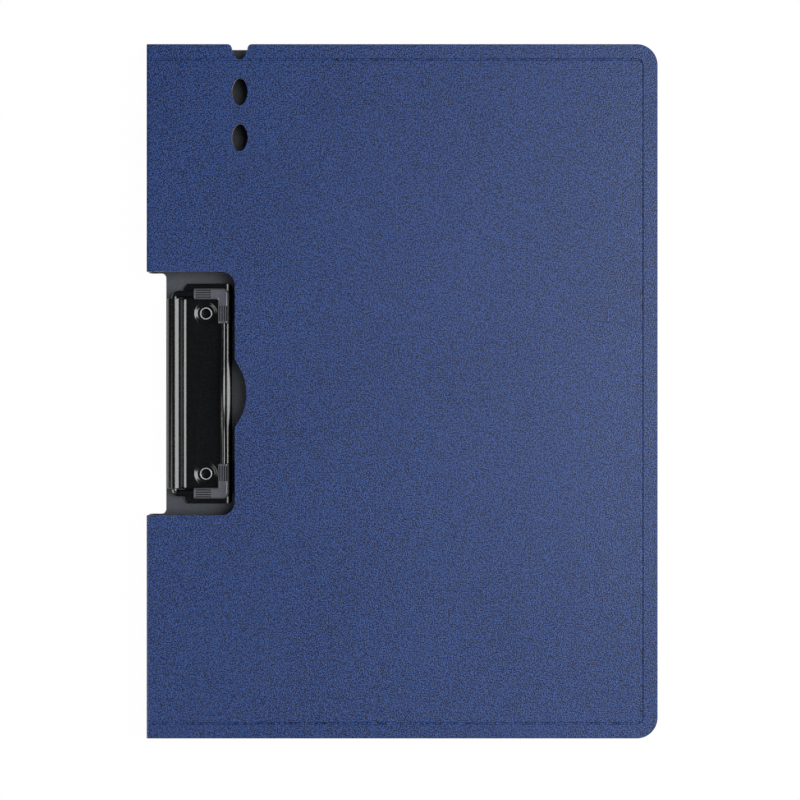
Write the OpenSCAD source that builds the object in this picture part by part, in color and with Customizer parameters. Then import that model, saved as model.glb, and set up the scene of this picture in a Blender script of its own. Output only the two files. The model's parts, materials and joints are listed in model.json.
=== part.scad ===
// Folding A4 clipboard, closed, lying on its back cover.
// X runs from the spine to the free edge, Y up the page, Z out of the back cover.
// The origin is the middle of the back cover's outer face. Sizes are in millimetres.

/* [Cover] */
// Width of the closed folder, from the spine's outer face to the free edge
cover_w = 232; // [225:1:260]
// Length of the folder, from its bottom edge to its top edge
cover_l = 315; // [305:1:340]
// Height of the closed folder, over both covers
closed_h = 14; // [13:0.5:22]
// Radius of the two corners at the free edge
corner_r = 9.5; // [4:0.5:20]
// Thickness of the outer sheet
skin_t = 0.8; // [0.6:0.1:1.2]
// Thickness of the inner sheet
lining_t = 0.6; // [0.4:0.1:1]
// Thickness of the stiffener board in the front cover
front_board_t = 1; // [0.6:0.1:1.6]
// Thickness of the stiffener board in the back cover
back_board_t = 2; // [1.5:0.1:3]
// Distance from the spine's outer face to where the boards start
board_from_spine = 4; // [3:0.5:6]
// Running gap between a cover's edge and the fold beside it
crease_gap = 0.3; // [0.2:0.05:0.5]

/* [Weld line] */
// Distance from the edge to the pressed line that welds the two sheets
weld_in = 6.55; // [4:0.25:9]
// Width of the pressed line
weld_w = 0.8; // [0.4:0.1:1.4]
// Depth of the pressed line
weld_d = 0.25; // [0.1:0.05:0.4]
// Radius of the line's outer corners
weld_r = 2.7; // [2:0.1:6]
// Space between the pressed line and the bulge of the lining over the board
weld_clear = 1; // [0.5:0.1:2]

/* [Clip cut-out] */
// Length of the cut-out along the spine
cut_l = 110.8; // [106:0.2:130]
// Place of the cut-out and the clip along the spine, from the middle
cut_y = -1; // [-20:0.5:20]
// Reach of the cut-out into the front cover, from the spine's outer face
cut_reach = 40.2; // [39:0.2:46]
// Radius of the cut-out's inner corners
cut_r = 6.5; // [3:0.5:10]
// Reach of the cut-out into the back cover, from the spine's outer face
back_cut_reach = 7.6; // [5:0.2:8]
// Radius of the inner corners of the back cover's cut
back_cut_r = 2.5; // [1:0.5:4]
// Radius of the finger notch in the cut-out's long edge
finger_r = 24; // [18:1:34]
// Depth of the finger notch
finger_depth = 5.3; // [3:0.1:7]
// Radius that eases the finger notch into the long edge
finger_ease_r = 4; // [2:0.5:6]

/* [Pen slot] */
// Width of a pen hole
pen_w = 7.3; // [6:0.1:9]
// Length of a pen hole
pen_l = 12.4; // [11:0.1:16]
// Radius of a pen hole's two ends
pen_end_r = 2.3; // [1.5:0.1:2.8]
// Spacing of the two holes and the notch
pen_pitch = 20.85; // [19:0.05:26]
// Distance from the spine's outer face to the middle of the pen slot
pen_from_spine = 42.4; // [30:0.2:60]
// Distance from the top edge down to the middle of the notch
pen_drop = 0.7; // [0.4:0.1:2]
// Radius of the notch's shoulders
pen_shoulder_r = 2; // [1:0.1:3]

/* [Clip plate] */
// Length of the clip's base plate along the spine
plate_l = 101; // [96:0.5:104]
// Width of the base plate, from its rear edge to its front edge
plate_w = 22; // [20:0.5:23]
// Thickness of the base plate
plate_t = 1.2; // [1:0.1:1.5]
// Distance from the spine's outer face to the plate's rear edge
plate_from_spine = 15.9; // [15.4:0.1:17]
// Length of the chamfer on a rear corner, along the spine
plate_chamfer_l = 2.3; // [1:0.1:4]
// Width of the chamfer on a rear corner
plate_chamfer_w = 1.6; // [1:0.1:4]
// Radius of a front corner
plate_corner_r = 2; // [1:0.5:4]
// Width of the front rim that is pressed down in a curve
plate_rim_w = 3.1; // [1:0.1:4]
// How far the rim's edge is pressed down
plate_rim_drop = 0.95; // [0.2:0.05:1]
// Length of the rolled barrel
barrel_l = 86.8; // [70:0.2:87]
// Distance from the spine's outer face to the barrel's axis
barrel_from_spine = 11.9; // [11.5:0.1:12.2]
// Radius of the bend between the barrel and the flat of the plate
barrel_bend_r = 2; // [1:0.1:2.2]

/* [Wire bail] */
// Diameter of the spring wire
wire_d = 3; // [2:0.1:3.2]
// Running clearance between the wire and the barrel, on the radius
wire_fit = 0.07; // [0.03:0.01:0.1]
// Length of each wire end inside the barrel
pin_l = 20; // [8:1:30]
// Radius at which the wire turns out of the barrel
pin_bend_r = 2; // [1.8:0.1:3]
// Gap between the barrel's end and the start of that bend
pin_gap = 0.2; // [0.1:0.1:0.6]
// Reach of the bail, from the barrel's axis to its front run
bail_reach = 22.5; // [22:0.1:23.4]
// Radius of the bail's two corners
bail_corner_r = 3; // [2.6:0.1:4]
// Length of the finger bow, where the middle of the front run rises off the plate
bow_l = 38; // [30:1:44]
// Height of the bow
bow_rise = 2.2; // [0.6:0.1:2.4]

/* [Corner sleeves] */
// Width of a sleeve across the wire
sleeve_w = 5; // [4.6:0.1:5.6]
// Height of a sleeve
sleeve_h = 4.2; // [4:0.1:4.8]
// Radius of the sleeve's long edges
sleeve_edge_r = 1.3; // [0.6:0.1:1.8]
// Radius of a sleeve's outer corner, seen from above
sleeve_corner_r = 2.8; // [2:0.1:5]
// Length of each leg of a sleeve, from its outer corner
sleeve_leg = 16; // [12:0.5:20]
// Gap between a sleeve and the base plate when the bail is down
sleeve_gap = 0.1; // [0.1:0.05:0.4]
// Clearance between the wire and the sleeve's hole
sleeve_fit = 0.03; // [0.02:0.01:0.06]
// Number of grip grooves on top of a leg
groove_n = 4; // [0:1:5]
// Width of a grip groove
groove_w = 0.35; // [0.2:0.05:0.5]
// Depth of a grip groove
groove_d = 0.25; // [0.1:0.05:0.3]
// Length of a grip groove
groove_l = 7; // [5:0.5:8]
// Width of the plain rim between a sleeve's free end and its grooves
groove_rim = 0.9; // [0.5:0.1:1.5]
// Spacing of the grip grooves
groove_pitch = 1.05; // [0.6:0.05:1.1]

/* [Rivets] */
// Spacing of the two rivets
rivet_pitch = 73.6; // [60:0.2:80]
// Distance from the spine's outer face to the rivets
rivet_from_spine = 26; // [25:0.2:27]
// Outer diameter of a rivet's tube
rivet_d = 4.8; // [4:0.1:5.2]
// Diameter of the blind hole in a rivet
rivet_hole_d = 4; // [3.2:0.1:4.1]
// Diameter of a rivet's rolled lip and of its head
rivet_lip_d = 6.4; // [6:0.1:7]
// Thickness of a rivet's lip and head
rivet_lip_t = 0.5; // [0.3:0.05:0.6]
// Clearance round a rivet, on the radius
rivet_fit = 0.1; // [0.05:0.05:0.2]
// Diameter of the dimple round a rivet, at the top
dimple_d = 10.4; // [9.5:0.1:12]
// Diameter of the dimple's flat floor
dimple_floor_d = 7.4; // [7.2:0.1:8]
// Depth of the dimple
dimple_depth = 0.6; // [0.4:0.05:0.7]

/* [Hidden] */
$fn = 96;

blue = [0.25, 0.31, 0.48];
dark = [0.23, 0.24, 0.26];
greyboard = [0.62, 0.60, 0.56];
black_steel = [0.07, 0.08, 0.09];
sleeve_grey = [0.2, 0.21, 0.23];

over = 1; // how far a cutting shape runs past what it cuts
arc_steps = 8; // flats along a computed arc

spine_x = -cover_w / 2; // the spine's outer face
free_x = cover_w / 2;
end_y = cover_l / 2;
cut_top = cut_y + cut_l / 2;
cut_bottom = cut_y - cut_l / 2;
cut_x = spine_x + cut_reach;
back_cut_x = spine_x + back_cut_reach;

fold_r = (skin_t + lining_t) / 2; // radius of the rounded fold at each crease
fold_x = spine_x + fold_r;
hinge_x = fold_x + fold_r + crease_gap; // the covers' edge beside the fold
board_x = spine_x + board_from_spine;
board_in = weld_in + weld_w + weld_clear + lining_t;

writing_z = skin_t + back_board_t + lining_t; // the dark face that the paper lies on
clip_y = cut_y;
barrel_x = spine_x + barrel_from_spine;
axis_h = plate_t + sleeve_gap + sleeve_h / 2; // the barrel holds the bail level
barrel_r = axis_h;
axis_z = writing_z + axis_h;
wire_r = wire_d / 2;
sleeve_turn_r = max(sleeve_corner_r, 2.1 * sleeve_edge_r); // keeps the edges clear of the turn's axis
pin_y = barrel_l / 2 + pin_gap; // where the wire starts to turn out of the barrel
arm_y = pin_y + pin_bend_r; // the bail's side arms
plate_x = spine_x + plate_from_spine;
rivet_x = spine_x + rivet_from_spine;
dimple_z = writing_z + plate_t - dimple_depth;

// ---- outlines, in the plane of a cover ----

// A sheet with square corners at the spine and round corners at the free edge,
// drawn in by inset at the top, bottom and free edge.
module sheet_outline(x0, inset, r) {
    x1 = free_x - inset;
    y1 = end_y - inset;
    translate([x0, -y1]) square([x1 - r - x0, 2 * y1]);
    translate([x0, r - y1]) square([x1 - x0, 2 * (y1 - r)]);
    for (side = [-1, 1]) translate([x1 - r, side * (y1 - r)]) circle(r);
}

// A cut that comes in from the spine, with two round inner corners.
module spine_cut(reach_x, r) {
    x0 = spine_x - over;
    translate([x0, cut_bottom]) square([reach_x - r - x0, cut_l]);
    translate([x0, cut_bottom + r]) square([reach_x - x0, cut_l - 2 * r]);
    for (y = [cut_bottom + r, cut_top - r]) translate([reach_x - r, y]) circle(r);
}

// Points along an arc about a centre, in equal steps from one angle to another.
function arc(centre, r, from, to, steps = arc_steps) =
    [for (i = [0:steps]) let (a = from + (to - from) * i / steps) centre + r * [cos(a), sin(a)]];

// The finger notch is part of a circle, eased into the long edge by two smaller ones.
module finger_notch() {
    notch_x = cut_x + finger_depth - finger_r;
    ease_x = cut_x + finger_ease_r;
    ease_y = sqrt(pow(finger_r + finger_ease_r, 2) - pow(ease_x - notch_x, 2));
    lean = atan2(ease_y, ease_x - notch_x); // where the big circle meets a small one
    translate([0, cut_y]) polygon(concat(
        [[cut_x - over, -ease_y]],
        arc([ease_x, -ease_y], finger_ease_r, 180, 180 - lean, arc_steps),
        arc([notch_x, 0], finger_r, -lean, lean, 4 * arc_steps),
        arc([ease_x, ease_y], finger_ease_r, lean - 180, -180, arc_steps),
        [[cut_x - over, ease_y]]
    ));
}

// Flips what it holds to the other side of the X axis when side is -1.
module flip_y(side) {
    if (side < 0) mirror([0, 1, 0]) children();
    else children();
}

// Flips what it holds to the other side of the Y axis when side is -1.
module flip_x(side) {
    if (side < 0) mirror([1, 0, 0]) children();
    else children();
}

// An oval of four arcs: two small ends and two long sides that meet them smoothly.
end_c = pen_l / 2 - pen_end_r;
side_r = (pow(pen_w / 2, 2) + pow(end_c, 2) - pow(pen_end_r, 2)) / (pen_w - 2 * pen_end_r);
side_c = side_r - pen_w / 2;
side_angle = atan2(end_c, side_c); // where a long side meets a small end
module pen_oval() {
    polygon(concat(
        arc([-side_c, 0], side_r, -side_angle, side_angle),
        arc([0, end_c], pen_end_r, side_angle, 180 - side_angle),
        arc([side_c, 0], side_r, 180 - side_angle, 180 + side_angle),
        arc([0, -end_c], pen_end_r, 180 + side_angle, 360 - side_angle)
    ));
}

// Two oval holes and a half oval in the top edge, whose shoulders are rounded.
module pen_slot() {
    notch_y = end_y - pen_drop;
    shoulder_y = pen_drop - pen_shoulder_r;
    shoulder_x = sqrt(pow(side_r + pen_shoulder_r, 2) - pow(shoulder_y, 2)) - side_c;
    lean = atan2(shoulder_y, shoulder_x + side_c); // where a long side meets a shoulder
    translate([spine_x + pen_from_spine, notch_y]) {
        for (i = [0:2]) translate([0, -i * pen_pitch]) pen_oval();
        for (side = [-1, 1]) flip_x(side) polygon(concat(
            [[0, shoulder_y - over]],
            arc([shoulder_x, shoulder_y], pen_shoulder_r, 180 + lean, 90),
            [[shoulder_x, pen_drop + over], [0, pen_drop + over]]
        ));
    }
}

module front_cuts() {
    spine_cut(cut_x, cut_r);
    finger_notch();
    pen_slot();
}

module back_cuts() {
    spine_cut(back_cut_x, back_cut_r);
}

module at_rivets(sides = [-1, 1]) {
    for (side = sides) translate([rivet_x, clip_y + side * rivet_pitch / 2]) children();
}

// ---- the plies of a cover, from its outer face at z = 0 inwards ----

module skin_ply() {
    difference() {
        linear_extrude(skin_t) difference() {
            sheet_outline(hinge_x, 0, corner_r);
            children();
        }
        translate([0, 0, -over]) linear_extrude(over + weld_d) difference() {
            sheet_outline(hinge_x - over, weld_in, weld_r);
            sheet_outline(hinge_x - 2 * over, weld_in + weld_w, weld_r - weld_w);
        }
    }
}

module board_ply(board_t) {
    translate([0, 0, skin_t]) linear_extrude(board_t) difference() {
        sheet_outline(board_x, board_in, weld_r);
        children();
    }
}

// The lining lies on the skin along the rim and bulges over the board.
module lining_ply(board_t) {
    translate([0, 0, skin_t]) difference() {
        union() {
            linear_extrude(lining_t) difference() {
                sheet_outline(hinge_x, 0, corner_r);
                children();
            }
            linear_extrude(board_t + lining_t) difference() {
                sheet_outline(board_x - lining_t, board_in - lining_t, weld_r + lining_t);
                children();
            }
        }
        translate([0, 0, -over]) linear_extrude(over + board_t) sheet_outline(board_x, board_in, weld_r);
    }
}

// Puts plies that are drawn from z = 0 inwards onto the top of the closed folder.
module as_front() {
    translate([0, 0, closed_h]) mirror([0, 0, 1]) children();
}

module front_cover_skin() {
    color(blue) as_front() skin_ply() front_cuts();
}

module front_cover_board() {
    color(greyboard) as_front() board_ply(front_board_t) front_cuts();
}

module front_cover_lining() {
    color(dark) as_front() lining_ply(front_board_t) front_cuts();
}

module back_cover_skin() {
    color(blue) skin_ply() {
        back_cuts();
        at_rivets() circle(rivet_lip_d / 2 + rivet_fit);
    }
}

module back_cover_board() {
    color(greyboard) board_ply(back_board_t) {
        back_cuts();
        at_rivets() circle(rivet_d / 2 + rivet_fit);
    }
}

module back_cover_lining() {
    color(dark) lining_ply(back_board_t) {
        back_cuts();
        at_rivets() circle(rivet_d / 2 + rivet_fit);
    }
}

// ---- the spine: a strip between two rounded folds ----

module along_spine(y0, y1) {
    translate([0, y1, 0]) rotate([90, 0, 0]) linear_extrude(y1 - y0) children();
}

module spine_skin(y0, y1) {
    color(blue) along_spine(y0, y1) {
        translate([spine_x, fold_r]) square([skin_t, closed_h - 2 * fold_r]);
        for (z = [fold_r, closed_h - fold_r]) translate([fold_x, z]) circle(fold_r);
    }
}

module spine_lining(y0, y1) {
    color(dark) along_spine(y0, y1) difference() {
        translate([spine_x + skin_t, fold_r]) square([lining_t, closed_h - 2 * fold_r]);
        for (z = [fold_r, closed_h - fold_r]) translate([fold_x, z]) circle(fold_r);
    }
}

// ---- the clip ----

// Section across the barrel: the tube, the sheet under it and the bend between them.
module barrel_section() {
    bend_h = plate_t + barrel_bend_r;
    bend_x = sqrt(pow(barrel_r + barrel_bend_r, 2) - pow(bend_h - axis_h, 2));
    lean = atan2(bend_h - axis_h, bend_x); // where the bend meets the barrel
    difference() {
        union() {
            translate([0, axis_h]) circle(barrel_r);
            square([max(bend_x, plate_x - barrel_x) + over, plate_t]);
            polygon(concat(
                [[0, plate_t / 2], [0, axis_h]],
                arc([bend_x, bend_h], barrel_bend_r, 180 + lean, 270),
                [[bend_x, plate_t / 2]]
            ));
        }
        translate([0, axis_h]) circle(wire_r + wire_fit);
    }
}

module plate_outline() {
    x1 = plate_x + plate_w;
    y1 = plate_l / 2;
    r = plate_corner_r;
    polygon([[plate_x, plate_chamfer_l - y1], [plate_x + plate_chamfer_w, -y1], [x1 - r, -y1], [x1 - r, y1],
             [plate_x + plate_chamfer_w, y1], [plate_x, y1 - plate_chamfer_l]]);
    translate([x1 - r - over, r - y1]) square([r + over, 2 * (y1 - r)]);
    for (side = [-1, 1]) translate([x1 - r, side * (y1 - r)]) circle(r);
}

// What the pressed rim takes away: the space over an arc that falls to the front edge.
module rim_fall() {
    x0 = plate_x + plate_w - plate_rim_w;
    r = (pow(plate_rim_w, 2) + pow(plate_rim_drop, 2)) / (2 * plate_rim_drop);
    top = writing_z + plate_t;
    polygon(concat(
        arc([x0, top - r], r, 90, 90 - asin(plate_rim_w / r)),
        [[x0 + plate_rim_w + over, top - plate_rim_drop], [x0 + plate_rim_w + over, top + over], [x0, top + over]]
    ));
}

module clip_base_plate() {
    color(black_steel) difference() {
        translate([0, clip_y, writing_z]) {
            linear_extrude(plate_t) plate_outline();
            translate([barrel_x, 0, 0]) along_spine(-barrel_l / 2, barrel_l / 2) barrel_section();
        }
        at_rivets() {
            translate([0, 0, writing_z - over]) cylinder(h = plate_t + over, r = rivet_d / 2 + rivet_fit);
            translate([0, 0, dimple_z]) cylinder(h = dimple_depth, d1 = dimple_floor_d, d2 = dimple_d);
            translate([0, 0, writing_z + plate_t]) cylinder(h = over, d = dimple_d);
        }
        along_spine(clip_y - plate_l / 2 - over, clip_y + plate_l / 2 + over) rim_fall();
    }
}

// A tube that is rolled over in the dimple. Its other end is closed by a flat head, which sits
// under the board, inside the thickness of the outer sheet.
module clip_rivet(side) {
    rim_mid = rivet_lip_d / 2 - rivet_lip_t / 2;
    head_z = skin_t - rivet_lip_t;
    color(black_steel) at_rivets([side]) rotate_extrude() {
        translate([0, head_z]) square([rim_mid, rivet_lip_t]);
        translate([rivet_hole_d / 2, head_z])
            square([(rivet_d - rivet_hole_d) / 2, dimple_z + rivet_lip_t - head_z]);
        translate([rivet_hole_d / 2, dimple_z]) square([rim_mid - rivet_hole_d / 2, rivet_lip_t]);
        for (z = [head_z, dimple_z])
            translate([rim_mid, z + rivet_lip_t / 2]) circle(rivet_lip_t / 2, $fn = 48);
    }
}

// ---- the wire bail, drawn from the barrel's axis at the origin, lying in the XY plane ----

module on_barrel_axis() {
    translate([barrel_x, clip_y, axis_z]) children();
}

// A straight run of round bar along +Y.
module run_y(x, y0, y1, r) {
    translate([x, y0, 0]) rotate([-90, 0, 0]) cylinder(h = y1 - y0, r = r);
}

// A straight run of round bar along +X.
module run_x(x0, x1, y, r) {
    translate([x0, y, 0]) rotate([0, 90, 0]) cylinder(h = x1 - x0, r = r);
}

// Part of a ring of round bar, from the angle from, sweep degrees round.
module bend(x, y, bend_r, from, sweep, r) {
    translate([x, y, 0]) rotate([0, 0, from]) rotate_extrude(angle = sweep) translate([bend_r, 0]) circle(r);
}

corner_y = arm_y - bail_corner_r;
bow_r = (pow(bow_l / 2, 2) + pow(bow_rise, 2)) / (2 * bow_rise);
bow_angle = asin(bow_l / 2 / bow_r);
bow_join = wire_r * tan(bow_angle); // fills the wedge where the straight run meets the bow

// Everything on one side of the finger bow, from the wire's end in the barrel on.
module half_bail() {
    run_y(0, pin_y - pin_l, pin_y, wire_r);
    bend(pin_bend_r, pin_y, pin_bend_r, 90, 90, wire_r);
    run_x(pin_bend_r, bail_reach - bail_corner_r, arm_y, wire_r);
    bend(bail_reach - bail_corner_r, corner_y, bail_corner_r, 0, 90, wire_r);
    run_y(bail_reach, bow_l / 2 - bow_join, corner_y, wire_r);
}

module clip_wire() {
    color(black_steel) on_barrel_axis() {
        for (side = [-1, 1]) flip_y(side) half_bail();
        translate([bail_reach, 0, 0]) rotate([0, -90, 0])
            bend(bow_rise - bow_r, 0, bow_r, -bow_angle, 2 * bow_angle, wire_r);
    }
}

// Section of a sleeve's leg: a rectangle with round corners, across and height.
module sleeve_section() {
    a = sleeve_w / 2;
    b = sleeve_h / 2;
    r = sleeve_edge_r;
    translate([-a, r - b]) square([2 * a, 2 * (b - r)]);
    translate([r - a, -b]) square([2 * (a - r), 2 * b]);
    for (sx = [-1, 1], sy = [-1, 1]) translate([sx * (a - r), sy * (b - r)]) circle(r, $fn = 48);
}

// The section's outer part, from the axis of the sleeve's turn out to its face.
module sleeve_turn_section() {
    b = sleeve_h / 2;
    r = sleeve_edge_r;
    translate([0, r - b]) square([sleeve_turn_r, 2 * (b - r)]);
    translate([0, -b]) square([sleeve_turn_r - r, 2 * b]);
    for (sz = [-1, 1]) translate([sleeve_turn_r - r, sz * (b - r)]) circle(r, $fn = 48);
}

// Fine grooves on top of a leg that runs along +X from the origin, starting at its rim.
module grip_grooves() {
    for (i = [0:1:groove_n - 1]) {
        y = (i - (groove_n - 1) / 2) * groove_pitch;
        translate([groove_rim, y - groove_w / 2, sleeve_h / 2 - groove_d])
            cube([groove_l, groove_w, groove_d + over]);
    }
}

module sleeve_upper_shape() {
    outer_x = bail_reach + sleeve_w / 2;
    outer_y = arm_y + sleeve_w / 2;
    leg_x = outer_x - sleeve_leg;
    leg_y = outer_y - sleeve_leg;
    turn_x = outer_x - sleeve_turn_r;
    turn_y = outer_y - sleeve_turn_r;
    corner_x = bail_reach - bail_corner_r;
    difference() {
        union() {
            translate([leg_x, arm_y, 0]) rotate([90, 0, 90]) linear_extrude(turn_x - leg_x) sleeve_section();
            translate([bail_reach, turn_y, 0]) rotate([90, 0, 0])
                linear_extrude(turn_y - leg_y) sleeve_section();
            translate([turn_x, turn_y, 0]) rotate_extrude(angle = 90) sleeve_turn_section();
        }
        run_x(leg_x - over, corner_x, arm_y, wire_r + sleeve_fit);
        bend(corner_x, corner_y, bail_corner_r, 0, 90, wire_r + sleeve_fit);
        run_y(bail_reach, leg_y - over, corner_y, wire_r + sleeve_fit);
        translate([leg_x, arm_y, 0]) grip_grooves();
        translate([bail_reach, leg_y, 0]) rotate([0, 0, 90]) grip_grooves();
    }
}

module corner_sleeve(side) {
    color(sleeve_grey) on_barrel_axis() flip_y(side) sleeve_upper_shape();
}

back_cover_skin();
back_cover_board();
back_cover_lining();
clip_base_plate();
clip_rivet(1);  // clip_rivet_upper
clip_rivet(-1);  // clip_rivet_lower
spine_skin(cut_top, end_y);  // spine_skin_upper
spine_skin(-end_y, cut_bottom);  // spine_skin_lower
spine_lining(cut_top, end_y);  // spine_lining_upper
spine_lining(-end_y, cut_bottom);  // spine_lining_lower
front_cover_skin();
front_cover_board();
front_cover_lining();
clip_wire();
corner_sleeve(1);  // corner_sleeve_upper
corner_sleeve(-1);  // corner_sleeve_lower
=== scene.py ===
# %% [markdown]
# # A folding clipboard, made around its measured solids
# The object is an A4 clipboard with a cover. Two stiff covers and a narrow spine are one welded
# plastic sheet, blue and sandy outside, dark inside. A wire clip sits in a cut-out beside the spine.
# The measured solids are loaded first. Every piece below is made in their frame, in metres, with Z up
# and Y up the page, so that a piece goes where its solid is without any fitting.

# %% Load the measured solids
import json
from math import atan2, ceil, cos, degrees, hypot, pi, radians, sin, sqrt

import bmesh
import bpy
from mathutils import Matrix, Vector


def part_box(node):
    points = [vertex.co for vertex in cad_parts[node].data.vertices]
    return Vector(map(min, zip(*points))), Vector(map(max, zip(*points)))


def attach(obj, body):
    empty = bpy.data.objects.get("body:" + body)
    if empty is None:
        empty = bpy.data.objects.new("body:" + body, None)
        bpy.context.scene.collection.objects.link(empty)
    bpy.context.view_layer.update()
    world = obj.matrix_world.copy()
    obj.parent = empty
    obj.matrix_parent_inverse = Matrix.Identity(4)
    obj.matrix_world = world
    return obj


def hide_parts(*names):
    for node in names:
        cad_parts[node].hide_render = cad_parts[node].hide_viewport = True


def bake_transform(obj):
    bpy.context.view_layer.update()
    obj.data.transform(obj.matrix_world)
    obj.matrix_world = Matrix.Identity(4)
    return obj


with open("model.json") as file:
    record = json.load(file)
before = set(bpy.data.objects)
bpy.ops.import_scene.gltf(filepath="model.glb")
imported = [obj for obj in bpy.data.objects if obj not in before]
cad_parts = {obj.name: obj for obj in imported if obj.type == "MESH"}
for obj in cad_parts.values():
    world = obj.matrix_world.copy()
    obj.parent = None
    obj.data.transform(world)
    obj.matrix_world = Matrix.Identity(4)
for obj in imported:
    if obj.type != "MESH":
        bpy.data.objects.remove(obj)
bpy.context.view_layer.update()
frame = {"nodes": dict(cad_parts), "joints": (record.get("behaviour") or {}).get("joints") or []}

mm = 0.001
near = 0.01 * mm  # places closer than this count as the same place
same = 0.001 * mm  # vertices closer than this are merged
joints = {joint["name"]: joint for joint in frame["joints"]}
print("nodes:", len(frame["nodes"]), "joints:", sorted(joints))

# %% [markdown]
# ## Sizes
# Sizes that the solids already hold are read from them, so that a new version of the solids moves
# everything here with it. What the solids don't show, such as the roundness of a fold, is a value.

# %% Sizes read from the solids
skin_low, skin_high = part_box("front_cover_skin")
spine_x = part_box("spine_skin_upper")[0].x
free_x, end_y, closed_h = skin_high.x, skin_high.y, skin_high.z
skin_t = closed_h - skin_low.z
lining_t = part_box("spine_lining_upper")[1].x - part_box("spine_lining_upper")[0].x
cut_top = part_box("spine_skin_upper")[0].y
cut_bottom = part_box("spine_skin_lower")[1].y
cut_y = (cut_top + cut_bottom) / 2
writing_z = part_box("back_cover_lining")[1].z
crease_r = joints["back_crease"]["pos_m"][2]
crease_x = joints["back_crease"]["pos_m"][0]
board_low, board_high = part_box("back_cover_board")
board_x = board_low.x
board_in = end_y - board_high.y

# %% Sizes of the cuts, the weld line and the folds
over = 3 * mm  # how far a cutting shape runs past the sheet
corner_r = 9.5 * mm
cut_reach, cut_r = 40.2 * mm, 6.5 * mm
back_cut_reach, back_cut_r = 7.6 * mm, 2.5 * mm
finger_r, finger_depth, finger_ease_r = 24 * mm, 5.3 * mm, 4 * mm
pen_w, pen_l, pen_end_r = 7.3 * mm, 12.4 * mm, 2.3 * mm
pen_pitch, pen_drop, pen_shoulder_r = 20.85 * mm, 0.7 * mm, 2 * mm
pen_x = spine_x + 42.4 * mm
weld_in, weld_w, weld_r = 6.55 * mm, 0.8 * mm, 2.7 * mm
fold_round = 1.3 * mm  # outer radius of the sheet at a fold
seam_h = 2.6 * mm  # height on the spine where a cover's sheet ends and the spine's begins
edge_soft = 0.15 * mm  # softness of a cut edge
rivet_x = spine_x + 26 * mm
rivet_pitch = 73.6 * mm
rivet_d, rivet_hole_d, rivet_lip_d = 4.8 * mm, 4 * mm, 6.4 * mm
rivet_lip_t, rivet_fit = 0.5 * mm, 0.1 * mm

# %% [markdown]
# ## Helpers for modelling as by hand
# Each helper does what a hand does in the viewport: pick faces or edges, then use an operator on
# them. Operators act on all that is selected, and loading leaves the solids selected, so everything
# is deselected before a new primitive comes in.

# %% Start a piece and edit it
def start(name):
    """Names the primitive that was just added and puts its place and size into its mesh."""
    obj = bpy.context.object
    obj.name = obj.data.name = name
    bpy.ops.object.transform_apply(location=True, rotation=True, scale=True)
    return obj


def edit(obj):
    """Opens obj in edit mode, alone."""
    if bpy.context.object and bpy.context.object.mode == "EDIT":
        bpy.ops.object.mode_set(mode="OBJECT")
    bpy.ops.object.select_all(action="DESELECT")
    obj.select_set(True)
    bpy.context.view_layer.objects.active = obj
    bpy.ops.object.mode_set(mode="EDIT")
    bpy.ops.mesh.select_mode(type="VERT")
    bpy.ops.mesh.select_all(action="SELECT")


def done():
    bpy.ops.object.mode_set(mode="OBJECT")


# %% Pick parts of a mesh by their place, and slice it
def pick(kind, test):
    """In edit mode, selects the verts, edges or faces that test says yes to. Returns how many."""
    bpy.ops.mesh.select_mode(type={"verts": "VERT", "edges": "EDGE", "faces": "FACE"}[kind])
    bpy.ops.mesh.select_all(action="DESELECT")
    mesh = bmesh.from_edit_mesh(bpy.context.object.data)
    chosen = [part for part in getattr(mesh, kind) if test(part)]
    for part in chosen:
        part.select_set(True)
    mesh.select_flush_mode()
    bmesh.update_edit_mesh(bpy.context.object.data)
    return len(chosen)


def slice_at(point, normal):
    """In edit mode, cuts the whole mesh along a plane and keeps both sides."""
    bpy.ops.mesh.select_all(action="SELECT")
    bpy.ops.mesh.bisect(plane_co=point, plane_no=normal, threshold=same)


# %% Modifiers, and a press that cuts
def modify(obj, kind, **settings):
    """Adds a modifier and applies it."""
    if bpy.context.object and bpy.context.object.mode == "EDIT":
        done()
    modifier = obj.modifiers.new(kind.lower(), kind)
    for name, value in settings.items():
        setattr(modifier, name, value)
    with bpy.context.temp_override(object=obj, active_object=obj):
        bpy.ops.object.modifier_apply(modifier=modifier.name)
    return obj


def punch(obj, *dies):
    """Cuts each die's shape out of obj, as a press does."""
    for die in dies:
        modify(obj, "BOOLEAN", operation="DIFFERENCE", solver="EXACT", object=die)
    return obj


def throw_away(*objects):
    for obj in objects:
        bpy.data.objects.remove(obj)


# %% Where a part lies, how crisp an edge is, and smooth shading
def place(part):
    """The middle of an edge or face."""
    points = [vert.co for vert in part.verts]
    return sum(points, Vector()) / len(points)


def angle(edge):
    return edge.calc_face_angle(0) if len(edge.link_faces) == 2 else 0


def smooth(obj, degrees_apart=22):
    """Smooths the shading across flats that meet at less than this angle, and leaves edges crisp."""
    bpy.ops.object.select_all(action="DESELECT")
    obj.select_set(True)
    bpy.context.view_layer.objects.active = obj
    bpy.ops.object.shade_smooth_by_angle(angle=radians(degrees_apart))
    return obj


# %% [markdown]
# A slab is the start of every flat layer. A cube primitive gets the layer's size, and the two
# upright edges at the free edge are bevelled into the round corners. The outline could be drawn with
# its arcs instead, but a bevel needs only the corner's radius.

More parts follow.
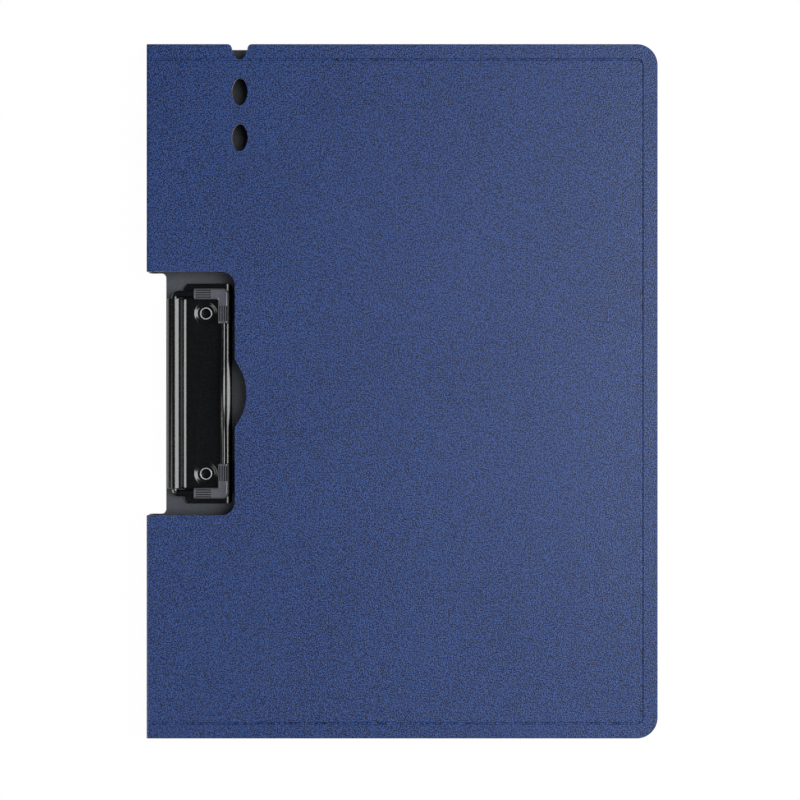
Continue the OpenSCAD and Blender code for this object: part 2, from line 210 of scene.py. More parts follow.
# %% A slab with round corners at the free edge
def slab(name, low, high, corner=0, flats=16):
    low, high = Vector(low), Vector(high)
    bpy.ops.object.select_all(action="DESELECT")
    bpy.ops.mesh.primitive_cube_add(size=1, location=(low + high) / 2, scale=high - low)
    obj = start(name)
    if corner:
        edit(obj)
        pick("edges", lambda e: all(abs(v.co.x - high.x) < near for v in e.verts)
             and abs(e.verts[0].co.y - e.verts[1].co.y) < near)
        bpy.ops.mesh.bevel(offset=corner, segments=flats, affect="EDGES")
        done()
    return obj


# %% [markdown]
# The cuts have outlines of straight runs and arcs. A Bezier curve only comes close to an arc, so such
# an outline is drawn with a single vertex: it is extruded along each straight run and spun round the
# centre of each arc. The closed outline is filled and extruded to a solid punch, the die. Blender's
# spin counts its angle the other way round.

# %% Draw an outline with one vertex
def draw(name, first, moves, flat_angle=5):
    """A chain of edges at Z = 0. A move is ("line", x, y) or ("arc", centre x, centre y, degrees).

    Every arc is made of flats that turn by flat_angle degrees at most."""
    bpy.ops.object.select_all(action="DESELECT")
    bpy.ops.mesh.primitive_plane_add(size=mm)
    obj = start(name)
    edit(obj)
    bpy.ops.mesh.merge(type="CENTER")
    bpy.ops.transform.translate(value=(*first, 0))
    now = Vector((*first, 0))
    for kind, x, y, *turn in moves:
        if kind == "line":
            bpy.ops.mesh.extrude_region_move(TRANSFORM_OT_translate={"value": Vector((x, y, 0)) - now})
            now = Vector((x, y, 0))
        else:
            steps = max(3, ceil(abs(turn[0]) / flat_angle))
            bpy.ops.mesh.spin(steps=steps, angle=-radians(turn[0]), center=(x, y, 0), axis=(0, 0, 1))
            reach = now - Vector((x, y, 0))
            turned = atan2(reach.y, reach.x) + radians(turn[0])
            now = Vector((x + reach.length * cos(turned), y + reach.length * sin(turned), 0))
    bpy.ops.mesh.select_all(action="SELECT")
    bpy.ops.mesh.remove_doubles(threshold=same)
    return obj


# %% Make a die from an outline
def die(name, first, moves, low, high, flat_angle=5):
    """A solid with that outline, from Z = low to high."""
    obj = draw(name, first, moves, flat_angle)
    bpy.ops.mesh.edge_face_add()
    bpy.ops.transform.translate(value=(0, 0, low))
    bpy.ops.mesh.extrude_region_move(TRANSFORM_OT_translate={"value": (0, 0, high - low)})
    bpy.ops.mesh.select_all(action="SELECT")
    bpy.ops.mesh.normals_make_consistent(inside=False)
    done()
    return obj


# %% [markdown]
# ## The dies
# On the real folder one press cuts the sheet and the lining of a cover together. Each layer could have
# the cuts in its own outline, but then they would have to agree. So there is one die for each cut, and
# both layers meet the same one. The layers are modelled as the back cover's are, lying outer face down
# at Z = 0, and the front cover's are turned over at the end.

# %% The clip's cut-out in the front cover, with its finger notch
die_low, die_high = -over, closed_h / 2
cut_x = spine_x + cut_reach
notch_x = cut_x + finger_depth - finger_r
ease_x = cut_x + finger_ease_r
ease_y = sqrt((finger_r + finger_ease_r) ** 2 - (ease_x - notch_x) ** 2)
ease = degrees(atan2(ease_y, ease_x - notch_x))
front_clip_die = die("front_clip_die", (spine_x - over, cut_bottom), [
    ("line", cut_x - cut_r, cut_bottom),
    ("arc", cut_x - cut_r, cut_bottom + cut_r, 90),
    ("line", cut_x, cut_y - ease_y),
    ("arc", ease_x, cut_y - ease_y, -ease),
    ("arc", notch_x, cut_y, 2 * ease),
    ("arc", ease_x, cut_y + ease_y, -ease),
    ("line", cut_x, cut_top - cut_r),
    ("arc", cut_x - cut_r, cut_top - cut_r, 90),
    ("line", spine_x - over, cut_top),
    ("line", spine_x - over, cut_bottom),
], die_low, die_high)
print("finger notch:", round(finger_depth / mm, 2), "mm deep, eased over", round(ease, 1), "degrees")

# %% The cut in the back cover, which clears the bail's swing
back_cut_x = spine_x + back_cut_reach
back_clip_die = die("back_clip_die", (spine_x - over, cut_bottom), [
    ("line", back_cut_x - back_cut_r, cut_bottom),
    ("arc", back_cut_x - back_cut_r, cut_bottom + back_cut_r, 90),
    ("line", back_cut_x, cut_top - back_cut_r),
    ("arc", back_cut_x - back_cut_r, cut_top - back_cut_r, 90),
    ("line", spine_x - over, cut_top),
    ("line", spine_x - over, cut_bottom),
], die_low, die_high)

# %% The pen slot: two ovals of four arcs, and a half oval whose shoulders are rounded
end_c = pen_l / 2 - pen_end_r
side_r = ((pen_w / 2) ** 2 + end_c ** 2 - pen_end_r ** 2) / (pen_w - 2 * pen_end_r)
side_c = side_r - pen_w / 2
side = degrees(atan2(end_c, side_c))
notch_y = end_y - pen_drop
pen_dies = []
for turn in (1, 2):
    y = notch_y - turn * pen_pitch
    pen_dies.append(die(f"pen_die_{turn}", (pen_x - side_c + side_r * cos(radians(side)),
                                            y - side_r * sin(radians(side))), [
        ("arc", pen_x - side_c, y, 2 * side),
        ("arc", pen_x, y + end_c, 180 - 2 * side),
        ("arc", pen_x + side_c, y, 2 * side),
        ("arc", pen_x, y - end_c, 180 - 2 * side),
    ], die_low, die_high))
shoulder_y = end_y - pen_shoulder_r
shoulder_x = sqrt((side_r + pen_shoulder_r) ** 2 - (shoulder_y - notch_y) ** 2) - side_c
lean = degrees(atan2(shoulder_y - notch_y, shoulder_x + side_c))
pen_dies.append(die("pen_die_0", (pen_x + shoulder_x, end_y + over), [
    ("line", pen_x + shoulder_x, end_y),
    ("arc", pen_x + shoulder_x, shoulder_y, 90 + lean),
    ("arc", pen_x - side_c, notch_y, -side - lean),
    ("arc", pen_x, notch_y - end_c, 2 * side - 180),
    ("arc", pen_x + side_c, notch_y, -side - lean),
    ("arc", pen_x - shoulder_x, shoulder_y, 90 + lean),
    ("line", pen_x - shoulder_x, end_y + over),
    ("line", pen_x + shoulder_x, end_y + over),
], die_low, die_high))
print("pen slot: side arcs of", round(side_r / mm, 1), "mm")

# %% [markdown]
# The rivets pass through round holes. The weld line is where a hot bar pressed the sheet and the lining
# together, so it is made with a bar too: a line with round turns is extruded to a wall and given its
# width by a Solidify modifier. The wall's edges are bevelled off, because the pressed line has sloping
# sides, and a slope catches the light where a square step would only draw a dark edge.

# %% The rivet holes
def rivet_die(name, radius):
    """Two round punches at the rivets."""
    for i, turn in enumerate((-1, 1)):
        bpy.ops.object.select_all(action="DESELECT")
        bpy.ops.mesh.primitive_cylinder_add(
            vertices=48, radius=radius, depth=die_high - die_low,
            location=(rivet_x, cut_y + turn * rivet_pitch / 2, (die_low + die_high) / 2))
        start(f"{name}_{i}")
    bpy.data.objects[f"{name}_0"].select_set(True)
    bpy.ops.object.join()
    return bpy.context.object


tube_die = rivet_die("tube_die", rivet_d / 2 + rivet_fit)
lip_die = rivet_die("lip_die", rivet_lip_d / 2 + rivet_fit)
print("rivet holes:", round(rivet_pitch / mm, 1), "mm apart")

# %% The bar that presses the weld line
weld_mid = weld_in + weld_w / 2
weld_press = 0.4 * mm  # how deep the bar goes, with flanks that slope over the same width
weld_flank = 0.3 * mm  # what the sloping flanks add to the bar's width
weld_gap = 0.4 * mm  # from the end of the fold to the start of the line
weld_x, weld_y, weld_turn = free_x - weld_mid, end_y - weld_mid, weld_r - weld_w / 2
weld_start_x = spine_x + fold_round + weld_gap
weld_bar = draw("weld_bar", (weld_start_x, -weld_y), [
    ("line", weld_x - weld_turn, -weld_y),
    ("arc", weld_x - weld_turn, weld_turn - weld_y, 90),
    ("line", weld_x, weld_y - weld_turn),
    ("arc", weld_x - weld_turn, weld_y - weld_turn, 90),
    ("line", weld_start_x, weld_y),
])
bpy.ops.transform.translate(value=(0, 0, -weld_press))
bpy.ops.mesh.extrude_region_move(TRANSFORM_OT_translate={"value": (0, 0, 2 * weld_press)})
bpy.ops.mesh.select_all(action="SELECT")
bpy.ops.mesh.normals_make_consistent(inside=False)
modify(weld_bar, "SOLIDIFY", thickness=weld_w + weld_flank, offset=0, use_even_offset=True)
edit(weld_bar)
pick("edges", lambda e: angle(e) > radians(60) and place(e).z > 0.9 * weld_press
     and max(v.co.x for v in e.verts) > weld_start_x + weld_w)
bpy.ops.mesh.bevel(offset=weld_press, segments=2, affect="EDGES")
done()
print("weld line:", round(weld_in / mm, 2), "mm in from the edges")

# %% [markdown]
# ## The blue sheet
# A cover's outer sheet lies flat, then turns up round the fold and runs on into the spine. A thin plane
# could be bent and thickened, but a plane has nothing for the weld bar to press into. So the flat part
# is a slab that the dies cut. Its narrow face at the fold is spun a quarter turn about the fold's
# centre, and then extruded up the spine. An extra edge just before the fold keeps the smooth shading of
# the fold off the large flat face.

# %% Fold the end face of a sheet up, and run it on up the spine
def fold_up(obj, x, turn_z, steps):
    """Turns the faces at x up about an axis along Y at height turn_z, and extrudes them to the seam."""
    edit(obj)
    pick("faces", lambda f: abs(place(f).x - x) < near and f.normal.x < -0.9)
    bpy.ops.mesh.spin(steps=steps, angle=-pi / 2, center=(x, 0, turn_z), axis=(0, 1, 0))
    bpy.ops.mesh.extrude_region_move(TRANSFORM_OT_translate={"value": (0, 0, seam_h - turn_z)})
    done()
    return obj


def support_edge(obj, x):
    """Cuts an extra edge along Y at x, which keeps the shading of a fold off what lies past it."""
    edit(obj)
    slice_at((x, 0, 0), (1, 0, 0))
    done()


# %% Soften the cut edges, and turn a layer over
def soften(obj, width=edge_soft, segments=2):
    """Bevels the crisp edges, but not those at the seam on the spine, where the sheet runs on."""
    edit(obj)
    bpy.ops.mesh.remove_doubles(threshold=2 * same)
    pick("edges", lambda e: angle(e) > radians(50)
         and not all(v.co.z > seam_h - near and v.co.x < spine_x + 2 * mm for v in e.verts))
    bpy.ops.mesh.bevel(offset=width, segments=segments, affect="EDGES", clamp_overlap=True)
    done()
    return smooth(obj)


def turn_over(obj):
    """Takes a layer from the back cover's place to the front cover's, which mirrors it in height."""
    edit(obj)
    bpy.ops.transform.resize(value=(1, 1, -1), center_override=(0, 0, closed_h / 2))
    bpy.ops.mesh.select_all(action="SELECT")
    bpy.ops.mesh.normals_make_consistent(inside=False)
    done()
    return obj


# %% The blue sheets of both covers
sheet_support = 1.6 * mm  # from the fold to the extra edge


def outer_sheet(name, *dies):
    fold_x = spine_x + fold_round
    sheet = slab(name, (fold_x, -end_y, 0), (free_x, end_y, skin_t), corner_r)
    support_edge(sheet, fold_x + sheet_support)
    punch(sheet, *dies, weld_bar)
    fold_up(sheet, fold_x, fold_round, 8)
    return soften(sheet)


back_cover_sheet = outer_sheet("back_cover_sheet", back_clip_die, lip_die)
front_cover_sheet = turn_over(outer_sheet("front_cover_sheet", front_clip_die, *pen_dies))
print("faces:", len(back_cover_sheet.data.polygons), len(front_cover_sheet.data.polygons))

# %% [markdown]
# ## The dark lining
# The lining is welded to the blue sheet along the rim and bulges over the stiffener board. A plane
# pushed up in the middle would look the same from outside, but would have no room for the board. So it
# is made of a thin slab and a raised one with soft shoulders, joined, less that room. At the fold it is
# pressed thin, as a crease is, so that it lies well when the folder is open too.

# %% The linings of both covers
bulge_soft = 1.1 * mm
crease_reach = 0.9 * mm  # from the crease's axis to where the pressed crease ends
crease_press = 0.2 * mm
liner_support = 0.6 * mm


def inner_sheet(name, board_t, *dies):
    fold_x = crease_x + crease_reach
    turn_z = crease_r + crease_reach
    rim = slab(name, (fold_x, -end_y, skin_t), (free_x, end_y, skin_t + lining_t), corner_r)
    support_edge(rim, fold_x + liner_support)
    inset = board_in - lining_t
    bulge = slab("bulge", (board_x - lining_t, inset - end_y, skin_t + lining_t / 4),
                 (free_x - inset, end_y - inset, skin_t + board_t + lining_t), weld_r + lining_t)
    edit(bulge)
    top = skin_t + board_t + lining_t
    pick("edges", lambda e: all(v.co.z > top - near for v in e.verts))
    bpy.ops.mesh.bevel(offset=bulge_soft, segments=5, affect="EDGES")
    done()
    room = slab("room", (board_x, board_in - end_y, skin_t - over),
                (free_x - board_in, end_y - board_in, skin_t + board_t), weld_r)
    modify(rim, "BOOLEAN", operation="UNION", solver="EXACT", object=bulge)
    punch(rim, room, *dies)
    throw_away(bulge, room)
    fold_up(rim, fold_x, turn_z, 2)
    edit(rim)
    pick("verts", lambda v: abs((v.co.x - crease_x) - (v.co.z - crease_r)) < 2 * near
         and v.co.x > crease_x + 0.5 * mm and v.co.z < seam_h - 0.1 * mm)
    bpy.ops.transform.translate(value=(-crease_press, 0, -crease_press))
    done()
    return soften(rim)


back_cover_liner = inner_sheet("back_cover_liner", board_high.z - board_low.z, back_clip_die, tube_die)
front_board_low, front_board_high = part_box("front_cover_board")
front_cover_liner = turn_over(inner_sheet(
    "front_cover_liner", front_board_high.z - front_board_low.z, front_clip_die, *pen_dies))
throw_away(front_clip_die, back_clip_die, *pen_dies, tube_die, lip_die, weld_bar)
print("faces:", len(back_cover_liner.data.polygons), len(front_cover_liner.data.polygons))

# %% [markdown]
# ## The spine
# The cut-out parts the spine in two. Each part has the blue sheet outside and the lining inside, and
# carries on both covers' sheets between the two seams. It could be part of a cover's sheet, but the
# spine turns on its own, and a piece that rides on it is sure to stay flat. Only the upright edges at
# its ends are cut edges, so only they are softened.

# %% The four pieces of the spine
def spine_piece(name, x0, x1, y0, y1):
    piece = slab(name, (x0, y0, seam_h), (x1, y1, closed_h - seam_h))
    edit(piece)
    pick("edges", lambda e: abs(e.verts[0].co.z - e.verts[1].co.z) > mm)
    bpy.ops.mesh.bevel(offset=edge_soft, segments=2, affect="EDGES")
    bpy.ops.mesh.select_all(action="SELECT")
    bpy.ops.mesh.subdivide(number_cuts=1)
    done()
    return smooth(piece)


spine_parts = {"upper": (cut_top, end_y), "lower": (-end_y, cut_bottom)}
spine_pieces = {}
skin_x = spine_x + skin_t
for part, (y0, y1) in spine_parts.items():
    spine_pieces[f"spine_sheet_{part}"] = spine_piece(f"spine_sheet_{part}", spine_x, skin_x, y0, y1)
    spine_pieces[f"spine_liner_{part}"] = spine_piece(
        f"spine_liner_{part}", skin_x, skin_x + lining_t, y0, y1)
print("spine pieces:", sorted(spine_pieces))

# %% [markdown]
# ## The clip's base plate
# The plate is pressed from one steel sheet. Its outline has two chamfered corners at the rear and two
# round ones in front, and a round dimple is pressed in at each rivet. A boolean with a cone would give
# the dimple a sharp rim, which pressed steel hasn't. So the flat top is filled between the outline and
# a circle round each dimple. Each circle is then extruded inwards, ring by ring, down a soft slope. The
# walls and the underside close the mesh. Last, the front rim is cut into narrow columns, and each
# column's top is pressed down to an arc, which is where the steel catches the light.

# %% Sizes of the clip
plate_low, plate_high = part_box("clip_base_plate")
plate_t = 1.2 * mm
plate_x0, plate_x1 = spine_x + 15.9 * mm, plate_high.x
plate_y0, plate_y1 = plate_low.y, plate_high.y
chamfer_l, chamfer_w, plate_corner_r = 2.3 * mm, 1.6 * mm, 2 * mm
dimple_d, dimple_floor_d, dimple_depth = 10.4 * mm, 7.4 * mm, 0.6 * mm
rim_w, rim_drop = 3.1 * mm, 0.95 * mm
plate_soft = 0.2 * mm  # softness of the plate's and the barrel's edges
barrel = Vector(joints["bail_swing"]["pos_m"])
barrel_r = barrel.z - writing_z
barrel_l = 86.8 * mm
wire_low, wire_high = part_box("clip_wire")
wire_r = barrel.z - wire_low.z
wire_fit = 0.07 * mm
barrel_bend_r = 2 * mm
plate_top = writing_z + plate_t

# %% The plate's flat top, with a hole where each dimple goes
base = draw("clip_plate", (plate_x0, plate_y0 + chamfer_l), [
    ("line", plate_x0 + chamfer_w, plate_y0),
    ("line", plate_x1 - plate_corner_r, plate_y0),
    ("arc", plate_x1 - plate_corner_r, plate_y0 + plate_corner_r, 90),
    ("line", plate_x1, plate_y1 - plate_corner_r),
    ("arc", plate_x1 - plate_corner_r, plate_y1 - plate_corner_r, 90),
    ("line", plate_x0 + chamfer_w, plate_y1),
    ("line", plate_x0, plate_y1 - chamfer_l),
    ("line", plate_x0, plate_y0 + chamfer_l),
])
bpy.ops.transform.translate(value=(0, 0, plate_top))
rivet_spots = [Vector((rivet_x, cut_y + turn * rivet_pitch / 2, 0)) for turn in (-1, 1)]
dimple_rim = dimple_d / 2 + 0.35 * mm  # where the slope starts
dimple_flats = 72
for spot in rivet_spots:
    bpy.ops.mesh.primitive_circle_add(
        vertices=dimple_flats, radius=dimple_rim, location=(spot.x, spot.y, plate_top))
bpy.ops.mesh.select_all(action="SELECT")
bpy.ops.mesh.fill(use_beauty=False)
print("plate:", round((plate_y1 - plate_y0) / mm, 1), "mm long")


# %% The dimples, ring by ring
def slope(share):
    """A soft step from 0 to 1."""
    return share * share * (3 - 2 * share)


dimple_steps = 10
rings = [(dimple_rim + (dimple_floor_d / 2 - dimple_rim) * i / dimple_steps,
          -dimple_depth * slope(i / dimple_steps)) for i in range(1, dimple_steps + 1)]
rings += [(rivet_d / 2 + rivet_fit, -dimple_depth), (rivet_d / 2 + rivet_fit, -plate_t)]
flat_l = 2 * dimple_rim * sin(pi / dimple_flats)
for spot in rivet_spots:
    radius, depth = dimple_rim, 0
    pick("edges", lambda e: abs(hypot(place(e).x - spot.x, place(e).y - spot.y) - dimple_rim) < 5 * near
         and abs((e.verts[0].co - e.verts[1].co).length - flat_l) < 2 * near)
    for new_radius, new_depth in rings:
        bpy.ops.mesh.extrude_region_move(
            TRANSFORM_OT_translate={"value": (0, 0, new_depth - depth)})
        scale = new_radius / radius
        bpy.ops.transform.resize(value=(scale, scale, 1), center_override=(spot.x, spot.y, plate_top))
        radius, depth = new_radius, new_depth
print("dimples:", dimple_steps, "rings each")

# %% The walls, the underside and the soft edges
pick("edges", lambda e: e.is_boundary and place(e).z > plate_top - near)
bpy.ops.mesh.extrude_region_move(TRANSFORM_OT_translate={"value": (0, 0, -plate_t)})
pick("edges", lambda e: e.is_boundary)
bpy.ops.mesh.fill(use_beauty=False)
bpy.ops.mesh.select_all(action="SELECT")
bpy.ops.mesh.normals_make_consistent(inside=False)
pick("edges", lambda e: angle(e) > radians(60) and place(e).z > plate_top - near)
bpy.ops.mesh.bevel(offset=plate_soft, segments=4, affect="EDGES")

# %% The front rim, pressed down in a curve
rim_x, rim_r = plate_x1 - rim_w, (rim_w ** 2 + rim_drop ** 2) / (2 * rim_drop)
rim_steps = 10
for x in [rim_x - plate_soft] + [rim_x + rim_w * i / rim_steps for i in range(rim_steps)]:
    slice_at((x, 0, 0), (1, 0, 0))
plate_verts = bmesh.from_edit_mesh(base.data).verts
columns = sorted({round(v.co.x, 7) for v in plate_verts if v.co.x > rim_x + near})
for x in columns:
    pick("verts", lambda v: abs(v.co.x - x) < 0.1 * same and v.co.z > plate_top - 0.4 * plate_t)
    bpy.ops.transform.translate(value=(0, 0, sqrt(rim_r ** 2 - (x - rim_x) ** 2) - rim_r))
done()
print("plate:", len(base.data.polygons), "faces")

# %% [markdown]
# The rear of the plate is rolled into a barrel that holds the wire's ends. A tube laid on the plate
# would meet it in a crisp corner, where the real steel runs over in a bend that draws a bright line. So
# its section is drawn flat: along the underside, down the bend, and round the barrel. It is extruded to
# the barrel's length, laid along Y and bored through. An extra edge near each end keeps the shading of
# the long flats even.

# %% The rolled barrel
bend_z = plate_t + barrel_bend_r
bend_x = sqrt((barrel_r + barrel_bend_r) ** 2 - (bend_z - barrel_r) ** 2)
tilt = degrees(atan2(bend_z - barrel_r, bend_x))
barrel_support = 0.3 * mm  # from each end to an extra edge
roll = die("clip_roll", (0, 0), [
    ("line", bend_x, 0),
    ("line", bend_x, plate_t),
    ("arc", bend_x, bend_z, -90 + tilt),
    ("arc", 0, barrel_r, 270 - tilt),
], -barrel_l / 2, barrel_l / 2, flat_angle=4)
roll.rotation_euler = (pi / 2, 0, 0)
roll.location = (barrel.x, barrel.y, writing_z)
bpy.ops.object.transform_apply(location=True, rotation=True, scale=True)
bpy.ops.object.select_all(action="DESELECT")
bpy.ops.mesh.primitive_cylinder_add(vertices=64, radius=wire_r + wire_fit, depth=barrel_l + 2 * over,
                                    location=barrel, rotation=(pi / 2, 0, 0))
bore = start("bore")
punch(roll, bore)
throw_away(bore)
edit(roll)
pick("edges", lambda e: angle(e) > radians(60) and abs(abs(place(e).y - barrel.y) - barrel_l / 2) < near)
bpy.ops.mesh.bevel(offset=plate_soft, segments=3, affect="EDGES")
for side in (-1, 1):
    slice_at((0, barrel.y + side * (barrel_l / 2 - barrel_support), 0), (0, 1, 0))
done()
bpy.ops.object.select_all(action="DESELECT")
roll.select_set(True)
base.select_set(True)
bpy.context.view_layer.objects.active = base
bpy.ops.object.join()
smooth(base, 30)
print("plate and barrel:", len(base.data.polygons), "faces")

# %% [markdown]
# ## The rivets
# Each rivet is a tube with a flat head under the board. Its upper end is rolled outwards over the
# plate. It could be put together from cylinders, but the rolled lip is round in section. So half of
# its section is drawn, from the axis at the bottom of the bore to the axis under the head, and spun
# round the rivet's axis. The crest of the rolled lip lies near the bore.

# %% Two blind tubular rivets
bore_r, tube_r, lip_r = rivet_hole_d / 2, rivet_d / 2, rivet_lip_d / 2
crest_r = 2.45 * mm
head_low, head_high = skin_t - rivet_lip_t, skin_t
lip_low = plate_top - dimple_depth


def quarter(x, z, rx, rz, first, last, flats=6):
    """Points on a quarter of an ellipse, between two angles."""
    return [(x + rx * cos(radians(first + (last - first) * i / flats)),
             z + rz * sin(radians(first + (last - first) * i / flats))) for i in range(flats + 1)]


rivet_section = [(0, head_high), (bore_r, head_high)]
rivet_section += quarter(crest_r, lip_low, crest_r - bore_r, rivet_lip_t, 180, 90)
rivet_section += quarter(crest_r, lip_low, lip_r - crest_r, rivet_lip_t, 90, 0)[1:]
rivet_section += [(tube_r, lip_low), (tube_r, head_high)]
rivet_section += quarter(lip_r - rivet_lip_t / 2, (head_low + head_high) / 2,
                         rivet_lip_t / 2, rivet_lip_t / 2, 90, -90)
rivet_section += [(0, head_low)]
rivets = []
for name, spot in zip(("rivet_lower", "rivet_upper"), rivet_spots):
    rivet = draw(name, rivet_section[0], [("line", x, z) for x, z in rivet_section[1:]])
    bpy.ops.transform.rotate(value=-pi / 2, orient_axis="X", center_override=(0, 0, 0))
    bpy.ops.transform.translate(value=(spot.x, spot.y, 0))
    bpy.ops.mesh.spin(steps=64, angle=2 * pi, center=spot, axis=(0, 0, 1))
    bpy.ops.mesh.select_all(action="SELECT")
    bpy.ops.mesh.remove_doubles(threshold=same)
    bpy.ops.mesh.normals_make_consistent(inside=False)
    done()
    rivets.append(smooth(rivet, 40))
    print(name, "from", [round(min(v.co[i] for v in rivet.data.vertices) / mm, 2) for i in range(3)],
          "to", [round(max(v.co[i] for v in rivet.data.vertices) / mm, 2) for i in range(3)])

# %% [markdown]
# ## The wire bail
# The bail is one length of spring wire. It comes out of the barrel, turns along each side, round the
# two front corners and across the front, where its middle rises off the plate in a bow, so that a
# finger gets under it. A circle could be extruded from bend to bend, but would lose its roundness in
# the corners. So a poly curve with a round bevel follows that route and is then made a mesh.

# %% The route of the wire
arm_y = wire_high.y - wire_r - barrel.y
bail_reach = wire_high.x - wire_r - barrel.x
bow_half, bow_rise = 23 * mm, wire_high.z - wire_r - barrel.z
pin_l, pin_bend_r, bail_corner_r = 20 * mm, 2 * mm, 3 * mm
pin_end_y = arm_y - pin_bend_r - pin_l


def arc_points(x, y, r, first, sweep, steps=14):
    turns = [radians(first + sweep * i / steps) for i in range(steps + 1)]
    return [(x + r * cos(turn), y + r * sin(turn), 0) for turn in turns]


def wire_route():
    """Half of the route, from the wire's end in the barrel to the middle of the bow."""
    points = [(0, pin_end_y, 0)]
    points += arc_points(pin_bend_r, arm_y - pin_bend_r, pin_bend_r, 180, -90)
    points += arc_points(bail_reach - bail_corner_r, arm_y - bail_corner_r, bail_corner_r, 90, -90)
    bow_steps = 28
    shares = [i / bow_steps for i in range(bow_steps + 1)]
    return points + [(bail_reach, bow_half * (1 - i), bow_rise * sin(i * pi / 2) ** 2) for i in shares]


# %% The wire itself
def wire_mesh(name, radius, smooth_sides=10):
    half = wire_route()
    points = half + [(x, -y, z) for x, y, z in reversed(half[:-1])]
    curve = bpy.data.curves.new(name, "CURVE")
    curve.dimensions = "3D"
    curve.bevel_depth = radius
    curve.bevel_resolution = smooth_sides
    curve.use_fill_caps = True
    spline = curve.splines.new("POLY")
    spline.points.add(len(points) - 1)
    for point, (x, y, z) in zip(spline.points, points):
        point.co = (barrel.x + x, barrel.y + y, barrel.z + z, 1)
    obj = bpy.data.objects.new(name, curve)
    bpy.context.scene.collection.objects.link(obj)
    bpy.ops.object.select_all(action="DESELECT")
    obj.select_set(True)
    bpy.context.view_layer.objects.active = obj
    bpy.ops.object.convert(target="MESH")
    obj = bpy.context.object
    edit(obj)
    bpy.ops.mesh.remove_doubles(threshold=same)
    bpy.ops.mesh.normals_make_consistent(inside=False)
    done()
    return smooth(obj, 40)


wire = wire_mesh("bail_wire", wire_r)
print("wire:", len(wire.data.polygons), "faces")

# %% [markdown]
# ## The corner sleeves
# A moulded sleeve covers each front corner of the bail. It is an L-shaped block with a small round at
# the outer corner and soft long edges. Near its free ends each leg has fine grip grooves, which stop
# at a plain rim. A bump could draw them, but they are deep enough to shade each other, so bars press
# them in. The faces that a bar leaves get a second material slot, which holds painted shade. The hole
# is bored with the wire's own route.

# %% Sizes of the sleeves
sleeve_w, sleeve_leg, sleeve_edge_r = 5 * mm, 16 * mm, 1.2 * mm
sleeve_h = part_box("corner_sleeve_upper")[1].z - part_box("corner_sleeve_upper")[0].z
sleeve_corner_r = 2.8 * mm
groove_n, groove_w, groove_d, groove_l, groove_pitch = 4, 0.5 * mm, 0.3 * mm, 7 * mm, 1.05 * mm
sleeve_rim, sleeve_fit, sleeve_soft = 0.9 * mm, 0.03 * mm, 0.25 * mm
wire_bore = wire_mesh("wire_bore", wire_r + sleeve_fit)
print("grooves on a leg:", groove_n)


# %% A bar that presses one groove
def groove_shade_slots(obj, slot):
    """Gives obj slots for the plastic and for painted shade in the grooves, and puts its faces in one."""
    for _ in range(2):
        obj.data.materials.append(None)
    for face in obj.data.polygons:
        face.material_index = slot
    return obj


def groove_bar(middle, along_x):
    """A thin bar with a round belly that presses one groove."""
    if along_x:
        turn, size = (0, pi / 2, 0), (groove_d * 2, groove_w, groove_l)
    else:
        turn, size = (pi / 2, 0, 0), (groove_w, groove_d * 2, groove_l)
    bpy.ops.object.select_all(action="DESELECT")
    bpy.ops.mesh.primitive_cylinder_add(
        vertices=16, radius=0.5, depth=1, location=middle, rotation=turn, scale=size)
    return groove_shade_slots(start("groove_bar"), 1)


# %% One sleeve, and its mirror image
def sleeve(name):
    x1 = barrel.x + bail_reach + sleeve_w / 2
    y1 = barrel.y + arm_y + sleeve_w / 2
    x0, y0 = x1 - sleeve_leg, y1 - sleeve_leg
    r, inner = sleeve_corner_r, 0.6 * mm
    body = die(name, (x0, y1 - sleeve_w), [
        ("line", x1 - sleeve_w - inner, y1 - sleeve_w),
        ("arc", x1 - sleeve_w - inner, y1 - sleeve_w - inner, -90),
        ("line", x1 - sleeve_w, y0),
        ("line", x1, y0),
        ("line", x1, y1 - r),
        ("arc", x1 - r, y1 - r, 90),
        ("line", x0, y1),
        ("line", x0, y1 - sleeve_w),
    ], barrel.z - sleeve_h / 2, barrel.z + sleeve_h / 2)
    edit(body)
    pick("edges", lambda e: angle(e) > radians(60) and abs(e.verts[0].co.z - e.verts[1].co.z) < near
         and abs(place(e).x - x0) > near and abs(place(e).y - y0) > near)
    bpy.ops.mesh.bevel(offset=sleeve_edge_r, segments=6, affect="EDGES")
    pick("edges", lambda e: angle(e) > radians(60))
    bpy.ops.mesh.bevel(offset=sleeve_soft, segments=2, affect="EDGES")
    done()
    top = barrel.z + sleeve_h / 2
    reach = sleeve_rim + groove_l / 2
    bars = []
    for i in range(groove_n):
        shift = (i - (groove_n - 1) / 2) * groove_pitch
        bars.append(groove_bar((x0 + reach, y1 - sleeve_w / 2 + shift, top), along_x=True))
        bars.append(groove_bar((x1 - sleeve_w / 2 + shift, y0 + reach, top), along_x=False))
    punch(groove_shade_slots(body, 0), *bars, wire_bore)
    throw_away(*bars)
    return smooth(body, 35)


sleeves = [sleeve("sleeve_upper"), sleeve("sleeve_lower")]
edit(sleeves[1])
bpy.ops.transform.resize(value=(1, -1, 1), center_override=barrel)
bpy.ops.mesh.select_all(action="SELECT")
bpy.ops.mesh.normals_make_consistent(inside=False)
done()
throw_away(wire_bore)
print("sleeves:", [len(obj.data.polygons) for obj in sleeves], "faces")

# %% [markdown]
# ## Finishes
# Each finish is a small node tree on Object coordinates, so that its grain is in real size. Images
# could carry the grain, but they would need seams and would blur near by. A class wraps a socket, so
# that shader maths is written as Python, and one method makes every other node.

